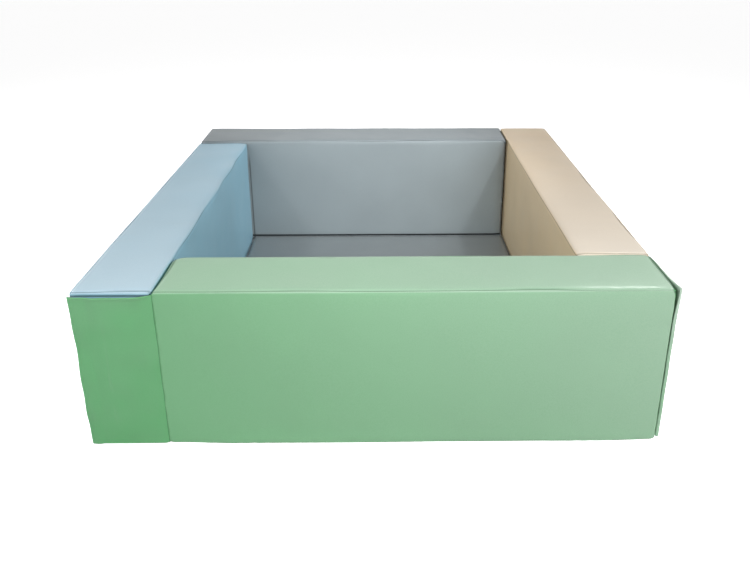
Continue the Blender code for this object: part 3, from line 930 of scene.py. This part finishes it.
def build_flap(name, seed):
    """A flap is a sheet over s, from its seam to its free edge, and its level, from foot to top. It lies
    flat where it is taped. Above the tape it stands out by a belly that rises fast from the seam, one
    minus a bell, and by a tip that grows as a power of the way to its free corner. Its free edge lifts
    as the square of the way past the tape, its hem flares out along its top and its free edge, and soft
    dents run down beside the tape. At the seam it dips, so that its edge is sewn into the block."""
    size = sizes()
    quarters, hinge, width, foot, top = flap_plan(name)
    belly, tip, edge, flare, dents, sag, tip_rise, foot_rise, hem_fold, turn_in, flap_sheen = FLAP_SHAPES[name]
    foot += foot_rise
    tape_low, tape_high = local_box(name + "_hook_tape", quarters)
    tape_start = (hinge[0] - tape_high[0]) / width
    tape_end = (hinge[0] - tape_low[0]) / width
    s = graded(0.0, width, RIM, 0.0042, 6) / width
    h = graded(foot, top, RIM, 0.0065, 6)
    share, level = np.meshgrid(s, h, indexing="ij")
    spots = np.stack([share.ravel() * width, level.ravel()], axis=1)

    def field(points, length, number, count=9):
        return ripples(points, length, (seed, number), count).reshape(share.shape)

    rise = clamped(1 - (top - level) / (top - tape_high[2]))
    rise = rise**2 * (3 - 2 * rise)
    to_tip = clamped((share - 0.55) / 0.45)
    past = clamped((share - tape_end) / (1 - tape_end))
    out = rise * (belly * (1 - bell(share, 0.13)) + tip * to_tip**1.6)
    taped = between(share, tape_start, tape_end, 0.05)
    loose = clamped(share / 0.15) * (1 - 0.75 * taped * (1 - rise))
    loose *= clamped((level - foot) / 0.09)
    broad = clamped(0.5 + 0.5 * field(spots, 0.17, 1))
    slanted = field(spots @ np.array([[1.3, 0.3], [-0.25, 0.7]]), 0.085, 2)
    out += dents * loose * (broad + clamped(0.5 + 0.5 * slanted))
    column = bell(share - 0.5 * (tape_end + 1), 0.055) - 0.6 * bell(share - tape_end + 0.05, 0.05)
    out += 0.9 * dents * column * np.clip(0.4 + field(spots[:, 1:], 0.16, 4, 5), -0.4, 1.4)
    imprint = taped * clamped((level - tape_low[2]) / 0.004) * (1 - rise)
    out = np.clip(out, 0, None) + 0.4 * MM * imprint
    out += edge * past**2 * (0.85 + 0.15 * field(spots[:, 1:], 0.14, 3, 5)) * (1 - 0.5 * rise)
    collar = np.minimum(width * (1 - share), top - level + 14 * MM * (1 - clamped(share / 0.2)))
    out += flare * clamped(1 - collar / FLARE_REACH) ** 1.7
    out -= ROOT_DIP * bell(width * share, DIP_REACH)
    upper = clamped(1 - (top - level) / 0.15) ** 2
    drop = upper * (sag * (0.25 + 0.75 * np.sin(QUARTER * clamped(2 * share))) - tip_rise * share**4)
    wobble = 0.9 * MM * field(spots[:, 1:], 0.13, 6, 5) * (1 - share) ** 12
    middle = np.stack([hinge[0] - width * share + wobble, hinge[1] - out, level - drop], axis=2)

    free = np.minimum.reduce([width * (1 - share), level - foot, top - level])
    distance = np.minimum(free, width * share)
    root = clamped(share / 0.06)
    bead = np.sqrt(clamped(1 - ((free - BEAD_PLACE) / BEAD_HALF) ** 2)) * root
    stitch = bell(free - STITCH_PLACE, STITCH_WIDTH) * root
    body = hemmed(distance, size.flap_thickness, RIM)
    full = body / (size.flap_thickness / 2)
    outward = body + full * (size.hem_bead * bead - 0.6 * MM * stitch)
    fold = clamped((HEM_WIDTH - free) / (1.5 * MM) + 0.5) * root
    lip = clamped(1 - (width * (1 - share) - RIM) / (5 * MM)) * clamped((top - level) / 0.08)
    inward = body + full * (hem_fold * fold + turn_in * lip)
    points, faces = sheet_skin(middle, outward, inward)
    # Painted shade in the flap's creases: along the stitch line, in the crack at the seam to the block, and
    # round the free rim of a flap with no turned-in lip
    crease = np.maximum(0.75 * stitch * full, 0.9 * bell(width * share - 1.4 * MM, 0.8 * MM))
    crease = np.maximum(crease, bell(free, 0.35 * MM) * root * (turn_in == 0))
    first, faces = welded(points, faces)
    points, crease = points[first], np.tile(crease.ravel(), 2)[first]
    slot_name = WALLS[name][2]
    # Painted sheen on the flap: random clouds, and painted light that grows toward the flap's top
    cloudy = 0.7 + 0.25 * ripples(points, 0.12, (seed, 8), 7) + 1.2 * (points[:, 2] - foot) / (top - foot)
    flap = mesh_piece(
        name + "_closing_flap", turned(points, quarters), faces, vinyl(slot_name),
        {"seam": crease, "bloom": flap_sheen * np.clip(cloudy, 0, 2)},
    )
    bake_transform(flap)
    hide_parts(name + "_flap")


# Hook-and-loop tape


def tape_skin(low, high, face_axis, seed):
    """A woven tape: a thin box with rolled edges, whose high side along face_axis is a pile of small
    tufts inside a sunk border."""
    radius = 0.3 * (high - low)[face_axis]
    places = [graded(low[n], high[n], radius, 0.0022, 2) for n in range(3)]
    plain, points, normals, faces = box_skin(low, high, radius, places)
    pile = normals[:, face_axis] > 0.9
    tufts = 0.12 * MM * (0.5 + 0.5 * ripples(plain, 0.004, (seed, 5), 12))
    field = np.ones(len(plain))
    for axis in range(3):
        if axis != face_axis:
            edge = edge_distance(plain, low, high, axis)
            field = np.minimum(field, clamped((edge - 1.5 * MM) / MM))
    points[:, face_axis] -= pile * (tufts * field + 0.35 * MM * (1 - field))
    return points, faces


class PIT_OT_tapes(bpy.types.Operator):
    """Build the hook tapes and the loop tapes"""

    bl_idname = "pit.tapes"
    bl_label = "Hook-and-loop tapes"

    def execute(self, context):
        for seed, name in enumerate(WALLS, start=51):
            quarters = WALLS[name][0]
            for kind, axis, body in (("hook", 1, name + "_flap"), ("loop", 0, name + "_wall")):
                low, high = local_box(f"{name}_{kind}_tape", quarters)
                points, faces = tape_skin(low, high, axis, seed)
                finish = finished(kind + "_pile", tape_pile, kind == "hook")
                tape = mesh_piece(f"{name}_{kind}_strip", turned(points, quarters), faces, finish)
                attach(tape, body)
                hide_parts(f"{name}_{kind}_tape")
        return {"FINISHED"}


# Zips


class PIT_OT_zips(bpy.types.Operator):
    """Finish the zips under the walls and the mat"""

    bl_idname = "pit.zips"
    bl_label = "Zips"

    def execute(self, context):
        weave = finished("zip_weave", zip_weave)
        plating = finished("zip_plating", zip_plating)
        for name in [*WALLS, "mat"]:
            for part, finish in (("zip_chain", weave), ("zip_slider", plating), ("zip_pull", plating)):
                mesh = frame["nodes"][f"{name}_{part}"].data
                mesh.materials.clear()
                mesh.materials.append(finish)
        return {"FINISHED"}


# Floor, light and camera

CAMERA_PLACE = (0.0205, -2.2502, 1.2692)
CAMERA_PITCH = math.radians(-19.176)
CAMERA_YAW = math.radians(-0.676)
CAMERA_LENS = 33.04
CAMERA_SHIFT = (-0.0207, -0.1392)

FLOOR_HALF = 14.0
FLOOR_GREY = (0.86, 0.86, 0.86, 1.0)
GLOW_START = (0.70, 0.74)

# The soft panels: name, place, aim, width, height, power, and whether a glossy cover mirrors it
PANELS = (
    ("right_light", (3.2, -1.9, 2.0), (-0.3, 0.0, 0.3), 2.2, 1.8, 40, True),
    ("left_front_light", (-3.2, -1.9, 2.0), (0.3, 0.0, 0.3), 2.2, 1.8, 25, True),
    ("left_light", (-3.3, 0.2, 1.4), (0.5, 0.1, 0.3), 3.2, 1.6, 44, True),
    ("right_side_light", (3.3, 0.2, 1.4), (-0.5, 0.1, 0.3), 3.2, 1.6, 35, True),
    ("front_right_light", (1.0, -1.9, 1.5), (0.5, -0.75, 0.3), 0.9, 0.9, 17.8, False),
    ("front_left_light", (-1.0, -1.9, 1.5), (-0.5, -0.75, 0.3), 0.9, 0.9, 16.2, False),
    ("back_light", (0.0, 3.6, 0.9), (0.0, 0.75, 0.25), 2.4, 0.8, 26, False),
)

# The spots, three on the back wall's inner face and two on the front wall's top: place, aim, angle in
# degrees, radius and power
SPOTS = (
    ((0.25, -2.3, 1.9), (0.0, 0.55, 0.25), 29, 0.35, 130),
    ((1.4, -1.7, 2.45), (-0.07, 0.55, 0.27), 23, 0.11, 206),
    ((-1.7, -1.7, 2.35), (0.05, 0.55, 0.25), 21, 0.17, 85),
    ((2.05, 1.6, 3.4), (0.57, -0.74, 0.45), 16, 0.35, 105),
    ((-0.35, -1.3, 2.9), (-0.28, -0.68, 0.45), 24, 0.30, 46),
)


def lamp(name, kind, place, aim, power):
    """The object of a new lamp that faces the point aim."""
    light = bpy.data.lights.new(name, kind)
    light.energy = power
    made = bpy.data.objects.new(name, light)
    bpy.context.scene.collection.objects.link(made)
    x, y, z = np.array(aim) - np.array(place)
    made.location = place
    made.rotation_euler = (math.atan2(math.hypot(x, y), -z), 0, math.atan2(y, x) - QUARTER)
    return made


def build_floor():
    """A wide matt floor at the frame's foot. From under the walls outward it also glows for the camera,
    so that the background is white and the shadows stay."""
    square = np.array([[-1, -1], [1, -1], [1, 1], [-1, 1]])
    corners = np.column_stack([FLOOR_HALF * square, np.full(4, FRAME_BOX[0][2])])
    made = Shader("studio_floor")
    made.set(Base_Color=FLOOR_GREY, Roughness=0.9)
    ray = made.node("ShaderNodeLightPath").outputs
    apart = made.node("ShaderNodeSeparateXYZ", {"Vector": made.place})
    sides = [made.maths("ABSOLUTE", apart.outputs[axis]) for axis in ("X", "Y")]
    outside = made.spread(made.maths("MAXIMUM", *sides), *GLOW_START)
    shown = made.maths("MULTIPLY", ray["Is Camera Ray"], outside)
    dark = made.white("ShaderNodeEmission", 0.0)
    glow = made.white("ShaderNodeEmission", 0.88)
    chosen = made.combined("ShaderNodeMixShader", shown, dark, glow)
    both = made.combined("ShaderNodeAddShader", made.surface.outputs["BSDF"], chosen)
    made.tree.links.new(both, made.tree.nodes["Material Output"].inputs["Surface"])
    floor = mesh_piece("studio_floor", corners, np.array([[0, 1, 2, 3]]), made.material)


def light_world(scene):
    """A faint white light from all round, which is plain white to the camera and in gloss and glass."""
    scene.world = bpy.data.worlds.new("studio")
    scene.world.use_nodes = True
    sky = Nodes(scene.world.node_tree)
    sky.tree.nodes.clear()
    ray = sky.node("ShaderNodeLightPath").outputs
    seen = sky.maths("MAXIMUM", ray["Is Camera Ray"], ray["Is Glossy Ray"])
    seen = sky.maths("MAXIMUM", seen, ray["Is Transmission Ray"])
    faint = sky.white("ShaderNodeBackground", 0.02)
    plain = sky.white("ShaderNodeBackground", 1.0)
    chosen = sky.combined("ShaderNodeMixShader", seen, faint, plain)
    sky.node("ShaderNodeOutputWorld", {"Surface": chosen})


def light_pit():
    """The panels and the spots."""
    for name, place, aim, width, height, power, mirrored in PANELS:
        panel = lamp(name, "AREA", place, aim, power)
        panel.visible_glossy = mirrored
        panel.data.shape = "RECTANGLE"
        panel.data.size = width
        panel.data.size_y = height
    for place, aim, angle, radius, power in SPOTS:
        spot = lamp("pit_light", "SPOT", place, aim, power).data
        spot.spot_size = math.radians(angle)
        spot.spot_blend = 0.9
        spot.shadow_soft_size = radius


def place_camera(scene):
    """The camera that takes the photograph's view."""
    data = bpy.data.cameras.new("camera")
    data.lens = CAMERA_LENS
    data.shift_x, data.shift_y = CAMERA_SHIFT
    camera = bpy.data.objects.new("camera", data)
    camera.location = CAMERA_PLACE
    camera.rotation_euler = (QUARTER + CAMERA_PITCH, 0.0, CAMERA_YAW)
    scene.collection.objects.link(camera)
    scene.camera = camera


class PIT_OT_stage(bpy.types.Operator):
    """Build the floor, the lights and the camera"""

    bl_idname = "pit.stage"
    bl_label = "Stage"

    def execute(self, context):
        build_floor()
        light_world(context.scene)
        light_pit()
        place_camera(context.scene)
        context.scene.view_settings.view_transform = "Standard"
        return {"FINISHED"}


class PIT_PT_panel(bpy.types.Panel):
    """Lists the pit's sizes, colours and building steps"""

    bl_idname = "PIT_PT_panel"
    bl_label = "Ball pit"
    bl_space_type = "VIEW_3D"
    bl_region_type = "UI"
    bl_category = "Ball pit"

    def draw(self, context):
        for group in (context.scene.pit_sizes, context.scene.pit_colours):
            box = self.layout.box()
            for key in group.__annotations__:
                box.prop(group, key)
        for operator in OPERATORS:
            self.layout.operator(operator.bl_idname)


OPERATORS = (
    PIT_OT_stage, PIT_OT_covers, PIT_OT_mat, PIT_OT_cores, PIT_OT_flaps, PIT_OT_tapes, PIT_OT_zips,
)
CLASSES = (PIT_PG_sizes, PIT_PG_colours, *OPERATORS, PIT_PT_panel)


def register():
    for one in CLASSES:
        bpy.utils.register_class(one)
    bpy.types.Scene.pit_sizes = bpy.props.PointerProperty(type=PIT_PG_sizes)
    bpy.types.Scene.pit_colours = bpy.props.PointerProperty(type=PIT_PG_colours)


def unregister():
    del bpy.types.Scene.pit_colours
    del bpy.types.Scene.pit_sizes
    for one in reversed(CLASSES):
        bpy.utils.unregister_class(one)


def main():
    register()
    bpy.ops.pit.stage()
    bpy.ops.pit.covers()
    bpy.ops.pit.mat()
    bpy.ops.pit.cores()
    bpy.ops.pit.flaps()
    bpy.ops.pit.tapes()
    bpy.ops.pit.zips()


if __name__ == "__main__":
    main()
